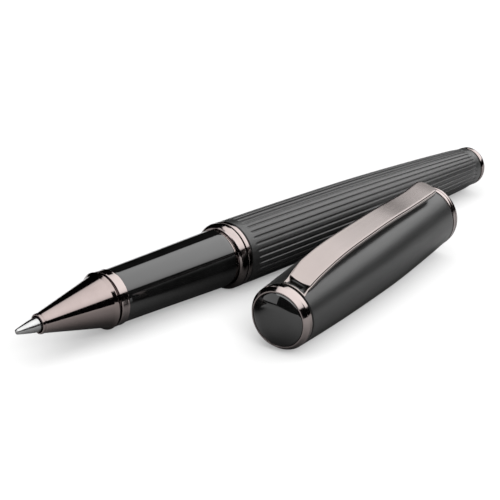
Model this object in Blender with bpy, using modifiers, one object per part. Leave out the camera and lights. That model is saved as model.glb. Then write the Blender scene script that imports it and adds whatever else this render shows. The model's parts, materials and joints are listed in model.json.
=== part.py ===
"""Capped rollerball pen, laid out uncapped: the pen on its side with its cap lying in front of it.

Units are metres and +Z is up.  The set lies on the plane Z = 0 and the frame's origin is under the
middle of the whole set.  The pen lies along X with its writing tip towards -X.  The cap lies on
the -Y side with its mouth turned a little towards the pen, and its clip upwards.

Stations along the pen are measured in millimetres from the joint between barrel and section,
positive towards the tail.  Stations along the cap are measured from its finial towards its mouth.
"""

from math import asin, cos, radians, sin, tau

import bmesh
import bpy
from mathutils import Matrix, Vector

MM = 0.001                      # outlines are written in millimetres

# ---------------------------------------------------------------- driving dimensions, millimetres
TIP = -47.8                     # front of the writing ball
NOSE_FRONT = -43.6              # mouth of the nose cone
NOSE_BACK = -30.5               # back of the nose cone's flared lip
COLLAR_BACK = -28.5
GRIP_BACK = -3.6
SECTION_RING = (-3.3, -1.45)
BARREL_RING = (-1.15, -0.25)
BARREL_FRONT = 0.05
BARREL_BACK = 77.2
TAIL = 79.15                    # flat end of the tail ring

RING_R = 6.21                   # the two trim rings, the pen's widest place
REFILL_R = 3.0                  # standard refill, 110.5 mm long
REFILL_BACK = TIP + 110.5
BORE_R = 3.35                   # clear bore for the refill
SPRING_CUP = (72.2, 72.8)       # loose cup between the refill's spring and the barrel's end
BALL_R = 0.35
GAP = 0.3                       # left between neighbouring pieces

FLUTES = 32
FLUTE_DEPTH = 0.16
FLUTE_TURN = radians(4.6)       # the first groove's angle from the pen's top side
THREAD_PITCH = 1.2
THREAD_TURNS = 5
THREAD_ROOT_R = 4.15
THREAD_CREST_R = 4.45

CAP_LENGTH = 56.6
CAP_MOUTH_BORE_R = 5.65
CLIP_ROLL = radians(15)         # the clip leans from straight up towards -Y

# ------------------------------------------------------------------ how the two pieces lie
PEN_TILT = radians(-0.3)        # the round barrel rests tail low
CAP_TILT = radians(1.3)         # the barrel-shaped cap rests mouth high
CAP_YAW = radians(10.1)
CAP_FROM_PEN = (-14.4, -25.1)   # finial end of the cap from the pen's station 0, along X and Y

# outer outlines that also decide how the pieces rest: (station, radius)
BARREL_OUTLINE = [(BARREL_FRONT, 6.13), (1.2, 6.18), (14.6, 6.18), (36.9, 5.97), (58.2, 5.3),
                  (72.4, 4.66), (75.6, 4.37), (BARREL_BACK, 4.27)]
BARREL_BORE = [(BARREL_FRONT, 5.35), (14.6, 5.35), (58.2, 4.47), (BARREL_BACK, 3.45)]
CAP_OUTLINE = [(2.05, 5.67), (8.0, 6.01), (15.3, 6.34), (24.5, 6.63), (33.9, 6.79), (45.0, 6.61),
               (54.4, 6.31)]
CAP_BORE = [(2.05, 5.1), (15.3, 5.75), (33.9, 6.2), (54.4, 6.0)]

# the clip: station, height of its top above the cap's axis, half width, depth of its side flanges
CLIP_STATIONS = [(2.15, 6.15, 2.25, 0.4), (3.7, 6.63, 2.38, 0.8), (6.0, 7.35, 2.38, 1.3),
                 (9.0, 8.05, 2.36, 1.35), (13.0, 8.68, 2.32, 1.15), (18.0, 9.02, 2.26, 1.0),
                 (25.0, 9.15, 2.19, 1.0), (32.0, 9.14, 2.12, 1.0), (39.0, 8.86, 2.06, 1.0),
                 (44.0, 8.74, 2.02, 0.95), (48.5, 8.68, 1.98, 0.9), (50.5, 8.64, 1.86, 0.9),
                 (51.35, 8.6, 1.25, 0.9)]
CLIP_SHEET = 0.65
CLIP_PIVOT = (3.2, 6.2)         # where the clip's sheet bends, station and height

RINGSIDE = 32                   # steps round an outside piece
INSIDE = 24                     # steps round a piece inside


# ------------------------------------------------------------------------------- placing
def resting_height(outline, tilt):
    """Height of the axis at station 0 when a turned outline rests on Z = 0, in millimetres."""
    return max(radius * cos(tilt) - station * sin(tilt) for station, radius in outline)


def cap_near_edge():
    """The lowest Y that the cap's outline reaches, from the pen's station 0, in millimetres."""
    return min(CAP_FROM_PEN[1] + station * cos(CAP_TILT) * sin(CAP_YAW) - radius * cos(CAP_YAW)
               for station, radius in CAP_OUTLINE)


ORIGIN_X = (TIP + TAIL) / 2 * cos(PEN_TILT)
ORIGIN_Y = (RING_R + cap_near_edge()) / 2
PEN_HEIGHT = resting_height([(SECTION_RING[0] + 0.4, RING_R), (BARREL_RING[1], RING_R)]
                            + BARREL_OUTLINE, PEN_TILT)
CAP_HEIGHT = resting_height(CAP_OUTLINE, CAP_TILT)


def axis_empty(name, x, y, z, tilt, yaw, roll, collection):
    """An empty whose +Z runs along a piece's axis and whose +X points up before it is rolled."""
    along = Vector((cos(tilt) * cos(yaw), cos(tilt) * sin(yaw), sin(tilt)))
    side = Vector((-sin(yaw), cos(yaw), 0.0))
    up = along.cross(side)
    top = up * cos(roll) - side * sin(roll)
    empty = bpy.data.objects.new(name, None)
    empty.empty_display_size = 0.01
    axes = Matrix((top, along.cross(top), along)).transposed().to_4x4()
    empty.matrix_world = Matrix.Translation(Vector((x, y, z)) * MM) @ axes
    collection.objects.link(empty)
    return empty


def child_empty(name, parent, place, collection):
    """An empty at a place in its parent's frame, in millimetres, with the parent's directions."""
    empty = bpy.data.objects.new(name, None)
    empty.empty_display_size = 0.005
    empty.parent = parent
    empty.location = Vector(place) * MM
    collection.objects.link(empty)
    return empty


# ------------------------------------------------------------------------------ materials
def material(name, colour, roughness, metallic):
    made = bpy.data.materials.new(name)
    made.use_nodes = True
    shader = made.node_tree.nodes["Principled BSDF"]
    shader.inputs["Base Color"].default_value = (*colour, 1.0)
    shader.inputs["Roughness"].default_value = roughness
    shader.inputs["Metallic"].default_value = metallic
    made.diffuse_color = (*colour, 1.0)
    return made


def make_materials():
    return {
        "barrel": material("matte_black_resin", (0.028, 0.028, 0.029), 0.5, 0.0),
        "cap": material("satin_black_resin", (0.03, 0.03, 0.031), 0.38, 0.0),
        "gloss": material("gloss_black_resin", (0.012, 0.012, 0.013), 0.08, 0.0),
        "trim": material("rose_gunmetal", (0.5, 0.44, 0.42), 0.18, 1.0),
        "clip": material("rose_gunmetal_satin", (0.56, 0.5, 0.48), 0.3, 1.0),
        "nose": material("dark_gunmetal", (0.36, 0.32, 0.31), 0.14, 1.0),
        "steel": material("steel", (0.62, 0.62, 0.62), 0.22, 1.0),
        "brass": material("brass", (0.7, 0.52, 0.25), 0.3, 1.0),
        "rubber": material("black_rubber", (0.02, 0.02, 0.02), 0.8, 0.0),
        "plastic": material("grey_plastic", (0.18, 0.18, 0.19), 0.5, 0.0),
        "ink": material("ink", (0.01, 0.01, 0.03), 0.4, 0.0),
    }


# ---------------------------------------------------------------------------- shape helpers
def add_object(name, mesh, surface, parent, collection):
    piece = bpy.data.objects.new(name, mesh)
    piece.data.materials.append(surface)
    piece.parent = parent
    collection.objects.link(piece)
    return piece


def turned(name, outline, surface, parent, collection, steps=INSIDE, shift=0.0):
    """A turned piece.  The outline runs along the outside towards +Z, then back through the bore.

    An outline that starts and ends on the axis makes a solid piece; any other one is a loop.
    """
    points = [(radius * MM, 0.0, (station - shift) * MM) for station, radius in reversed(outline)]
    solid = outline[0][1] == 0 and outline[-1][1] == 0
    edges = [(i, i + 1) for i in range(len(points) - 1)]
    if not solid:
        edges.append((len(points) - 1, 0))
    mesh = bpy.data.meshes.new(name)
    mesh.from_pydata(points, edges, [])
    piece = add_object(name, mesh, surface, parent, collection)
    screw = piece.modifiers.new("turn", "SCREW")
    screw.axis = "Z"
    screw.steps = steps
    screw.render_steps = steps
    screw.use_merge_vertices = True
    screw.merge_threshold = 0.00001
    screw.use_smooth_shade = True
    return piece


def loft(name, rings, surface, parent, collection, closed):
    """A skin through rings of equally many points: a closed tube of rings, or ends filled flat."""
    work = bmesh.new()
    loops = [[work.verts.new(Vector(point) * MM) for point in ring] for ring in rings]
    pairs = list(zip(loops, loops[1:]))
    if closed:
        pairs.append((loops[-1], loops[0]))
    count = len(rings[0])
    for first, second in pairs:
        for i in range(count):
            j = (i + 1) % count
            work.faces.new((first[i], first[j], second[j], second[i]))
    if not closed:
        work.faces.new(loops[0])
        work.faces.new(loops[-1])
    bmesh.ops.recalc_face_normals(work, faces=work.faces)
    mesh = bpy.data.meshes.new(name)
    work.to_mesh(mesh)
    work.free()
    mesh.shade_smooth()
    mesh.set_sharp_from_angle(angle=radians(30))
    return add_object(name, mesh, surface, parent, collection)


def ring_points(station, radius_at, angles):
    return [(radius_at(a) * cos(a), radius_at(a) * sin(a), station) for a in angles]


def box_cutter(name, low, high, parent, collection):
    """A box between two corners given in the parent's frame, used only to cut."""
    mesh = bpy.data.meshes.new(name)
    work = bmesh.new()
    bmesh.ops.create_cube(work, size=1.0)
    size = [(b - a) * MM for a, b in zip(low, high)]
    middle = [(b + a) / 2 * MM for a, b in zip(low, high)]
    bmesh.ops.scale(work, vec=size, verts=work.verts)
    bmesh.ops.translate(work, vec=middle, verts=work.verts)
    work.to_mesh(mesh)
    work.free()
    cutter = bpy.data.objects.new(name, mesh)
    cutter.parent = parent
    cutter.hide_render = True
    cutter.display_type = "WIRE"
    collection.objects.link(cutter)
    return cutter


def cut(piece, cutter):
    boolean = piece.modifiers.new("cut_" + cutter.name, "BOOLEAN")
    boolean.operation = "DIFFERENCE"
    boolean.solver = "EXACT"
    boolean.object = cutter


def offset(outline, by):
    """An outline moved towards the axis."""
    return [(station, radius - by) for station, radius in outline]


def radius_on(outline, station):
    """The radius of an outline at a station between its points."""
    for (s0, r0), (s1, r1) in zip(outline, outline[1:]):
        if s0 <= station <= s1:
            return r0 + (r1 - r0) * (station - s0) / (s1 - s0)
    return outline[-1][1]


def tube_outline(outer, wall):
    """A tube's loop: along the outside, then back along the inside."""
    return outer + list(reversed(offset(outer, wall)))


# --------------------------------------------------------------------------- section pieces
def make_nose_cone(mats, axis, parts):
    outside = [(NOSE_FRONT, 1.5), (NOSE_FRONT + 0.12, 1.67), (NOSE_FRONT + 0.42, 1.67),
               (NOSE_FRONT + 0.55, 1.58), (NOSE_FRONT + 0.7, 1.78), (-31.05, 4.7), (-30.9, 4.95),
               (NOSE_BACK, 4.97), (NOSE_BACK, 3.95), (-26.0, 3.95)]
    inside = [(-26.0, BORE_R), (-32.6, BORE_R), (-38.2, 1.95), (-41.0, 1.42), (NOSE_FRONT, 1.42)]
    turned("nose_cone", outside + inside, mats["nose"], axis, parts, RINGSIDE)


def make_collar(mats, axis, parts):
    front = NOSE_BACK + GAP
    turned("collar_ring", [(front, 4.92), (front + 0.12, 4.97), (COLLAR_BACK - 0.15, 4.87),
                           (COLLAR_BACK, 4.78), (COLLAR_BACK, 4.25), (front, 4.25)],
           mats["trim"], axis, parts, RINGSIDE)


def make_grip(mats, axis, parts):
    front = COLLAR_BACK + GAP
    turned("grip_sleeve", [(front, 4.72), (GRIP_BACK, 5.36), (GRIP_BACK, 4.3), (front, 4.3)],
           mats["gloss"], axis, parts, RINGSIDE)


def make_section_core(mats, axis, parts):
    turned("section_core", [(-25.7, 4.0), (-1.3, 4.0), (-1.3, BORE_R), (-25.7, BORE_R)],
           mats["brass"], axis, parts)


def make_section_ring(mats, axis, parts):
    front, back = SECTION_RING
    turned("section_ring", [(front, 5.7), (front + 0.4, RING_R), (back - 0.1, RING_R),
                            (back, RING_R - 0.1), (back, 4.3), (front, 4.3)],
           mats["trim"], axis, parts, RINGSIDE)


def make_thread_connector(mats, axis, parts):
    """The male thread that the barrel screws on: a tube whose skin follows a helix."""
    start, stop = 2.0, 2.0 + THREAD_TURNS * THREAD_PITCH
    rows_per_turn = 4
    rows = THREAD_TURNS * rows_per_turn
    angles = [tau * i / 24 for i in range(24)]

    def thread_radius(station, angle):
        fade = min(1.0, (station - start) / THREAD_PITCH, (stop - station) / THREAD_PITCH)
        phase = (station / THREAD_PITCH - angle / tau) % 1.0
        return THREAD_ROOT_R + (THREAD_CREST_R - THREAD_ROOT_R) * fade * abs(2 * phase - 1)

    front, back = -1.0, 9.0
    rings = [ring_points(front, lambda a: THREAD_ROOT_R, angles)]
    for row in range(rows + 1):
        station = start + (stop - start) * row / rows
        rings.append(ring_points(station, lambda a: thread_radius(station, a), angles))
    rings.append(ring_points(back, lambda a: THREAD_ROOT_R, angles))
    rings.append(ring_points(back, lambda a: BORE_R, angles))
    rings.append(ring_points(front, lambda a: BORE_R, angles))
    loft("thread_connector", rings, mats["brass"], axis, parts, closed=True)


def make_thread_seal(mats, axis, parts):
    """A round rubber ring on the plain land in front of the thread."""
    middle, large, small = 0.75, 4.76, 0.29
    outline = [(middle - small * cos(tau * i / 10), large + small * sin(tau * i / 10))
               for i in range(10)]
    turned("thread_o_ring", outline, mats["rubber"], axis, parts)


# ---------------------------------------------------------------------------- refill pieces
def make_refill(mats, axis, parts):
    socket = TIP + BALL_R
    tip = [(TIP + 0.15, 0.41), (TIP + 0.5, 0.5), (-45.2, 1.0), (-44.2, 1.22), (-40.9, 1.22),
           (-40.9, 0.5), (socket + 0.55, 0.5), (socket + 0.4, 0.41), (TIP + 0.15, 0.37)]
    turned("refill_tip", tip, mats["steel"], axis, parts, 24)
    holder = [(-40.6, 1.35), (-38.4, 1.6), (-33.2, 2.85), (-32.2, REFILL_R), (-31.0, REFILL_R),
              (-31.0, 0.9), (-40.6, 0.9)]
    turned("refill_holder", holder, mats["plastic"], axis, parts, 24)
    tube = [(-30.7, REFILL_R), (60.5, REFILL_R), (60.5, 2.6), (-30.7, 2.6)]
    turned("refill_tube", tube, mats["steel"], axis, parts, 24)
    turned("ink_core", [(-30.2, 0), (-30.2, 2.25), (57.5, 2.25), (57.5, 0)],
           mats["ink"], axis, parts, 16)
    plug = [(58.0, 0), (58.0, 2.25), (60.8, 2.25), (60.8, REFILL_R), (REFILL_BACK - 0.3, REFILL_R),
            (REFILL_BACK, 2.7), (REFILL_BACK, 0)]
    turned("refill_plug", plug, mats["plastic"], axis, parts, 24)


def make_writing_ball(mats, axis, parts):
    work = bmesh.new()
    bmesh.ops.create_uvsphere(work, u_segments=20, v_segments=12, radius=BALL_R * MM)
    mesh = bpy.data.meshes.new("writing_ball")
    work.to_mesh(mesh)
    work.free()
    mesh.shade_smooth()
    ball = add_object("writing_ball", mesh, mats["steel"], axis, parts)
    ball.location = (0.0, 0.0, (TIP + BALL_R) * MM)


def make_spring(mats, axis, parts):
    """A compression spring between the refill's back end and a loose cup in the barrel."""
    front, back = REFILL_BACK + 0.55, SPRING_CUP[0] - 0.45
    coil_r, wire_r, turns, per_turn = 2.5, 0.25, 6, 12
    curve = bpy.data.curves.new("refill_spring", "CURVE")
    curve.dimensions = "3D"
    curve.bevel_depth = wire_r * MM
    curve.bevel_resolution = 1
    curve.use_fill_caps = True
    line = curve.splines.new("POLY")
    count = turns * per_turn + 1
    line.points.add(count - 1)
    for i, point in enumerate(line.points):
        share = i / (count - 1)
        turn = tau * turns * share
        point.co = (coil_r * cos(turn) * MM, coil_r * sin(turn) * MM,
                    (front + (back - front) * share) * MM, 1.0)
    add_object("refill_spring", curve, mats["steel"], axis, parts)
    turned("spring_cup", [(SPRING_CUP[0], 0), (SPRING_CUP[0], 3.2), (SPRING_CUP[1], 3.2),
                          (SPRING_CUP[1], 0)], mats["brass"], axis, parts)


# ---------------------------------------------------------------------------- barrel pieces
def make_barrel(mats, axis, parts):
    """The barrel: a tapering tube with narrow grooves along it that die out near both ends."""
    groove_half = radians(1.6)
    pitch = tau / FLUTES
    angles = [FLUTE_TURN + pitch * i + part for i in range(FLUTES)
              for part in (0.0, groove_half, pitch - groove_half)]
    grooves = {angles[i] for i in range(0, len(angles), 3)}
    stations = [(BARREL_FRONT, 0.0), (1.2, 0.0), (2.4, 1.0), (14.6, 1.0), (36.9, 1.0), (58.2, 1.0),
                (72.4, 1.0), (74.3, 0.9), (75.9, 0.0), (BARREL_BACK, 0.0)]
    rings = []
    for station, share in stations:
        radius = radius_on(BARREL_OUTLINE, station)
        deep = radius - FLUTE_DEPTH * share
        rings.append(ring_points(station, lambda a: deep if a in grooves else radius, angles))
    for station, radius in reversed(BARREL_BORE):
        rings.append(ring_points(station, lambda a: radius, angles))
    loft("barrel", rings, mats["barrel"], axis, parts, closed=True)


def make_barrel_ring(mats, axis, parts):
    front, back = BARREL_RING
    turned("barrel_ring", [(front, RING_R - 0.08), (front + 0.1, RING_R), (back - 0.1, RING_R),
                           (back, RING_R - 0.08), (back, 5.2), (front, 5.2)],
           mats["trim"], axis, parts, RINGSIDE)


def make_barrel_inside(mats, axis, parts):
    turned("barrel_bush", [(2.0, 5.05), (12.2, 5.05), (12.2, 4.7), (2.0, 4.7)],
           mats["brass"], axis, parts)
    liner = [(12.5, 5.05), (14.6, 5.05), (55.0, radius_on(BARREL_BORE, 55.0) - GAP)]
    turned("barrel_liner", tube_outline(liner, 0.45), mats["brass"], axis, parts)
    front = SPRING_CUP[1] + GAP
    turned("tail_plug", [(front, 0), (front, 3.2), (BARREL_BACK, 3.1), (BARREL_BACK, 0)],
           mats["plastic"], axis, parts)


def make_tail(mats, axis, parts):
    front = BARREL_BACK + GAP
    turned("tail_ring", [(front, 4.3), (front + 0.3, 4.34), (TAIL - 0.8, 4.32),
                         (TAIL - 0.3, 4.18), (TAIL, 3.85), (TAIL, 3.2), (front, 3.2)],
           mats["trim"], axis, parts, RINGSIDE)
    turned("tail_disc", [(front, 0), (front, 2.9), (TAIL - 0.1, 2.9), (TAIL, 2.75), (TAIL, 0)],
           mats["gloss"], axis, parts)


# ------------------------------------------------------------------------------- cap pieces
def make_cap_shell(mats, axis, parts, guides):
    shell = turned("cap_shell", CAP_OUTLINE + list(reversed(CAP_BORE)), mats["cap"], axis, parts,
                   RINGSIDE)
    slot = box_cutter("clip_slot", (4.0, -1.5, 2.5), (7.0, 1.5, 4.1), axis, guides)
    cut(shell, slot)


def make_cap_inside(mats, axis, parts):
    liner = [(6.5, radius_on(CAP_BORE, 6.5) - GAP), (15.3, 5.45), (33.9, 5.9), (54.1, 5.68)]
    turned("cap_liner", tube_outline(liner, 0.35), mats["brass"], axis, parts)
    seal = [(7.2, 0), (7.2, 4.0), (8.2, 4.55), (27.0, 4.8), (27.0, 4.4), (9.0, 4.15), (9.0, 0)]
    turned("inner_cap", seal, mats["plastic"], axis, parts)
    plug = [(2.3, 4.6), (6.1, 4.6), (6.1, 1.5), (2.3, 1.5)]
    turned("cap_head_plug", plug, mats["brass"], axis, parts)


def make_mouth_ring(mats, axis, parts):
    front = CAP_OUTLINE[-1][0] + GAP
    turned("cap_mouth_ring", [(front, 6.32), (55.5, 6.34), (55.6, 6.16), (55.85, 6.16),
                              (55.95, 6.34), (CAP_LENGTH - 0.12, 6.34), (CAP_LENGTH, 6.22),
                              (CAP_LENGTH, CAP_MOUTH_BORE_R), (front, CAP_MOUTH_BORE_R)],
           mats["trim"], axis, parts, RINGSIDE)


def make_finial(mats, axis, parts):
    turned("finial_ring", [(0.0, 4.91), (0.45, 5.33), (0.85, 5.57), (1.75, 5.65), (1.75, 4.7),
                           (0.0, 4.7)],
           mats["trim"], axis, parts, RINGSIDE)
    rim, rise = 4.4, 1.5
    sphere = (rim * rim + rise * rise) / (2 * rise)
    edge = asin(rim / sphere)
    crown = 0.35 - rise
    dome = [(crown, 0)]
    dome += [(crown + sphere * (1 - cos(edge * i / 5)), sphere * sin(edge * i / 5)) for i in range(1, 6)]
    turned("finial_dome", dome + [(1.6, rim), (1.6, 0)], mats["gloss"], axis, parts, RINGSIDE)
    screw = [(1.9, 0), (1.9, 1.2), (6.4, 1.2), (6.4, 2.2), (6.9, 2.2), (6.9, 0)]
    turned("finial_screw", screw, mats["steel"], axis, parts, 24)


def make_clip(mats, axis, clip_axis, parts):
    """The spring clip: a pressed strip with its edges turned down and a pad near its free end."""
    pivot_station, pivot_height = CLIP_PIVOT
    rings = []
    for station, top, half, flange in CLIP_STATIONS:
        sheet = min(CLIP_SHEET, flange * 0.5)
        pad = 1.0 if 44.0 <= station <= 48.5 else 0.0
        inner = half - 0.45
        under = top - sheet - pad
        low = top - flange
        section = [(top, half), (low, half), (low, inner), (under, inner - 0.02),
                   (under, 0.02 - inner), (low, -inner), (low, -half), (top, -half)]
        rings.append([(up - pivot_height, side, station - pivot_station) for up, side in section])
    loft("clip", rings, mats["clip"], clip_axis, parts, closed=False)
    bracket = [[(up, side, station) for up, side in ((4.9, -1.15), (4.9, 1.15), (5.7, 1.15),
                                                     (5.7, -1.15))] for station in (2.85, 3.75)]
    loft("clip_bracket", bracket, mats["steel"], axis, parts, closed=False)


# --------------------------------------------------------------------------------- the pen
def new_collection(name):
    collection = bpy.data.collections.new(name)
    bpy.context.scene.collection.children.link(collection)
    return collection


def main():
    for old in list(bpy.data.objects):
        bpy.data.objects.remove(old, do_unlink=True)
    parts = new_collection("rollerball_pen")
    guides = new_collection("cutters")
    mats = make_materials()

    pen_axis = axis_empty("pen_axis", -ORIGIN_X, -ORIGIN_Y, PEN_HEIGHT, PEN_TILT, 0.0, 0.0, parts)
    cap_axis = axis_empty("cap_axis", CAP_FROM_PEN[0] - ORIGIN_X, CAP_FROM_PEN[1] - ORIGIN_Y,
                          CAP_HEIGHT, CAP_TILT, CAP_YAW, CLIP_ROLL, parts)
    pivot_station, pivot_height = CLIP_PIVOT
    clip_axis = child_empty("clip_axis", cap_axis, (pivot_height, 0.0, pivot_station), parts)

    for make in (make_nose_cone, make_collar, make_grip, make_section_core, make_section_ring,
                 make_thread_connector, make_thread_seal, make_refill, make_writing_ball,
                 make_spring, make_barrel_ring, make_barrel, make_barrel_inside, make_tail):
        make(mats, pen_axis, parts)
    make_cap_shell(mats, cap_axis, parts, guides)
    make_cap_inside(mats, cap_axis, parts)
    make_mouth_ring(mats, cap_axis, parts)
    make_finial(mats, cap_axis, parts)
    make_clip(mats, cap_axis, clip_axis, parts)


main()
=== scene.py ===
"""Looks of a capped rollerball pen, lying uncapped beside its cap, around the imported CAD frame.

Outlines are lists of (station, radius) in millimetres: the station runs along a piece's own axis,
which the frame gives.  Pen stations start at the joint between barrel and section and run towards
the tail.  Cap stations start at the finial and run towards the mouth.
"""

import json
from math import cos, pi, radians, sin, sqrt, tan, tau

import bmesh
import bpy
import numpy as np
from mathutils import Matrix, Vector


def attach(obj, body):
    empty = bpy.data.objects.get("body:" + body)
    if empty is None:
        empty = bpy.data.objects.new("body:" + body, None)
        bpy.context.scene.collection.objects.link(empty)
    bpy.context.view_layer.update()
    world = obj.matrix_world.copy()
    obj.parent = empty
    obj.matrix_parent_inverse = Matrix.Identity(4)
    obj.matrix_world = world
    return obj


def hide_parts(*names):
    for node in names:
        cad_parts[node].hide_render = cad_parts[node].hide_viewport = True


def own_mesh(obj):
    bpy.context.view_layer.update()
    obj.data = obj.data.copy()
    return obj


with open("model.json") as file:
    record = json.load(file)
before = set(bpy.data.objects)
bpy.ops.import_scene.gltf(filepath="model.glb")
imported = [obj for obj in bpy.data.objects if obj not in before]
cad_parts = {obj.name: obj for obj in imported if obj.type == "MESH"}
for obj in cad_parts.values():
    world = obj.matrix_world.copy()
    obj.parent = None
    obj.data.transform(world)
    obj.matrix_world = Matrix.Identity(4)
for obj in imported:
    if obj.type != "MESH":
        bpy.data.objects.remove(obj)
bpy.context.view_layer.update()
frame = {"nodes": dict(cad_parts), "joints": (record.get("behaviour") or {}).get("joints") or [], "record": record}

MM = 0.001
SCENE = bpy.context.scene

RINGSIDE = 160                  # steps round an outside piece
INSIDE = 96                     # steps round a piece inside
SPIGOT = 0.2                    # how far a ring or sleeve reaches into the gap beside it
FLUTES = 32
FLUTE_DEPTH = 0.19
FLUTE_HALF_WIDTH = radians(1.9)
FLUTE_TURN = radians(4.6)       # the first groove's angle from the pen's top side
THREAD_PITCH = 1.2
THREAD_TURNS = 5
SECTION_BORE = 3.35             # radius of the hole that the refill lies in
REFILL_RADIUS = 3.0
BORE_SHOULDER = 14.6            # the pen station behind which the barrel's bore narrows
CAP_SHOULDER = 15.3             # cap stations where the slope of its inside changes
CAP_WIDEST = 33.9
CLIP_SPREAD = 0.5               # how much wider the clip's free end is than its CAD node's
CLIP_WAIST = 0.3                # how much narrower and lower the clip is at its root
CHANNEL_DEPTH = 0.75            # from the rim of the clip's channel down to its web
PLATE_INSET = 0.14              # how far the clip's plate stays inside the channel's outline

SOFTBOX = 4.0                   # radiance of the softbox overhead
NEAR_EDGE_LIGHT = 0.4           # the softbox's brightness at its two long edges, as a share
FAR_EDGE_LIGHT = 0.6
SIDE_CARD = 1.6                 # radiance of the card at the pen's side
FILL = 14.0                     # radiance of the light beside the camera, which nothing mirrors
FLOOR_COLOUR = (0.25, 0.25, 0.25)
FLOOR_MIRRORED = 0.34           # the floor's colour to all rays but the camera's, far from pieces
FLOOR_CONTACT_SHADE = 0.02            # the same, darkened as painted shade where a piece touches the floor
FLOOR_LIFT = 0.28               # light the camera alone sees on the floor, which softens shadows


# ---------------- axes from the frame
def joint(name):
    return next(j for j in frame["joints"] if j["name"] == name)


def mount(name):
    return next(m for m in frame["record"]["mounts"] if m["name"] == name)


def node_points(name):
    count = len(frame["nodes"][name].data.vertices)
    points = np.zeros(count * 3, np.float32)
    frame["nodes"][name].data.vertices.foreach_get("co", points)
    return points.reshape(-1, 3)


class Axis:
    """A piece's own axis: +Z along it, +X its top side, station 0 at its origin."""

    def __init__(self, origin, along, top):
        along = Vector(along).normalized()
        top = Vector(top)
        top = (top - along * top.dot(along)).normalized()
        turn = Matrix((top, along.cross(top), along)).transposed().to_4x4()
        self.matrix = Matrix.Translation(Vector(origin)) @ turn

    def local(self, name):
        """A CAD node's points along this axis, in millimetres."""
        inverse = np.array(self.matrix.inverted())
        points = node_points(name)
        return (points @ inverse[:3, :3].T + inverse[:3, 3]) / MM

    def stations(self, name):
        """The stations at which a CAD node has points."""
        return sorted({round(float(x), 2) for x in self.local(name)[:, 2]})

    def reach(self, name):
        """The first and last station of a CAD node."""
        stations = self.local(name)[:, 2]
        return float(stations.min()), float(stations.max())

    def radius(self, name):
        """The largest radius of a CAD node."""
        points = self.local(name)
        return float(np.hypot(points[:, 0], points[:, 1]).max())

    def ring(self, name, station, width=0.02):
        """The points of a CAD node at one of its stations."""
        points = self.local(name)
        return points[abs(points[:, 2] - station) < width]

    def outside(self, name, station):
        """The outer radius of a turned CAD node at one of its stations."""
        ring = self.ring(name, station)
        return float(np.hypot(ring[:, 0], ring[:, 1]).max())


PEN = Axis(joint("barrel_turn")["pos_m"], joint("barrel_turn")["axis"], (0, 0, 1))
cap_along = Vector(mount("cap_mouth_face")["axis"])
cap_top = Vector(joint("clip_flex")["axis"]).cross(cap_along)
cap_middle = Vector(node_points("cap_mouth_ring").mean(0).tolist())
CAP = Axis(cap_middle, cap_along, cap_top)
CAP.matrix = CAP.matrix @ Matrix.Translation((0, 0, CAP.reach("finial_ring")[0] * MM))


# ---------------- materials
class Paint:
    """A Principled material under construction."""

    def __init__(self, name, colour, roughness, metallic=0.0, specular=0.5):
        self.material = bpy.data.materials.new(name)
        self.material.use_nodes = True
        self.tree = self.material.node_tree
        self.shader = self.tree.nodes["Principled BSDF"]
        self.shader.inputs["Base Color"].default_value = (*colour, 1.0)
        self.shader.inputs["Roughness"].default_value = roughness
        self.shader.inputs["Metallic"].default_value = metallic
        self.shader.inputs["Specular IOR Level"].default_value = specular
        self.material.diffuse_color = (*colour, 1.0)
        self.place = self.tree.nodes.new("ShaderNodeTexCoord").outputs["Object"]

    def node(self, kind, **settings):
        made = self.tree.nodes.new(kind)
        for name, value in settings.items():
            setattr(made, name, value)
        return made

    def link(self, output, socket):
        self.tree.links.new(output, socket)

    def noise(self, scale, detail, stretch=(1, 1, 1)):
        """Noise over the piece's own coordinates, scale in features per metre."""
        mapping = self.node("ShaderNodeMapping")
        mapping.inputs["Scale"].default_value = stretch
        self.link(self.place, mapping.inputs["Vector"])
        noise = self.node("ShaderNodeTexNoise")
        noise.inputs["Scale"].default_value = scale
        noise.inputs["Detail"].default_value = detail
        noise.inputs["Roughness"].default_value = 0.55
        self.link(mapping.outputs["Vector"], noise.inputs["Vector"])
        return noise.outputs["Fac"]

    def spread(self, value, low, high, start=0.3, stop=0.7):
        """A noise value spread between two numbers."""
        ramp = self.node("ShaderNodeMapRange")
        ramp.inputs["From Min"].default_value = start
        ramp.inputs["From Max"].default_value = stop
        ramp.inputs["To Min"].default_value = low
        ramp.inputs["To Max"].default_value = high
        self.link(value, ramp.inputs["Value"])
        return ramp.outputs["Result"]

    def rough(self, value, low, high):
        self.link(self.spread(value, low, high), self.shader.inputs["Roughness"])

    def tint(self, value, dark, light):
        mix = self.node("ShaderNodeMix", data_type="RGBA")
        mix.inputs["A"].default_value = (*dark, 1.0)
        mix.inputs["B"].default_value = (*light, 1.0)
        self.link(self.spread(value, 0.0, 1.0), mix.inputs["Factor"])
        self.link(mix.outputs["Result"], self.shader.inputs["Base Color"])

    def bump(self, value, height):
        """Relief whose full height is given in metres."""
        bump = self.node("ShaderNodeBump")
        bump.inputs["Distance"].default_value = height
        self.link(value, bump.inputs["Height"])
        self.link(bump.outputs["Normal"], self.shader.inputs["Normal"])


def grey(value):
    return (value, value, value)


def drawn(share):
    """The stretch of a noise that runs along a piece."""
    return (1, 1, share)


def spun(share):
    """The stretch of a noise that runs round a piece, as a lathe leaves it."""
    return (share, share, 1)


def coated(name, colour, roughness, tint, rough, bump, **shader):
    """A material whose colour, roughness and relief each follow a noise of their own.

    tint is (noise, dark, light), rough is (noise, smooth, coarse), and bump is (noise, height in
    metres).  A noise is (features per metre, detail, stretch), and its stretch may be left out.
    """
    paint = Paint(name, colour, roughness, **shader)
    paint.tint(paint.noise(*tint[0]), *tint[1:])
    paint.rough(paint.noise(*rough[0]), *rough[1:])
    paint.bump(paint.noise(*bump[0]), bump[1])
    return paint.material


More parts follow.
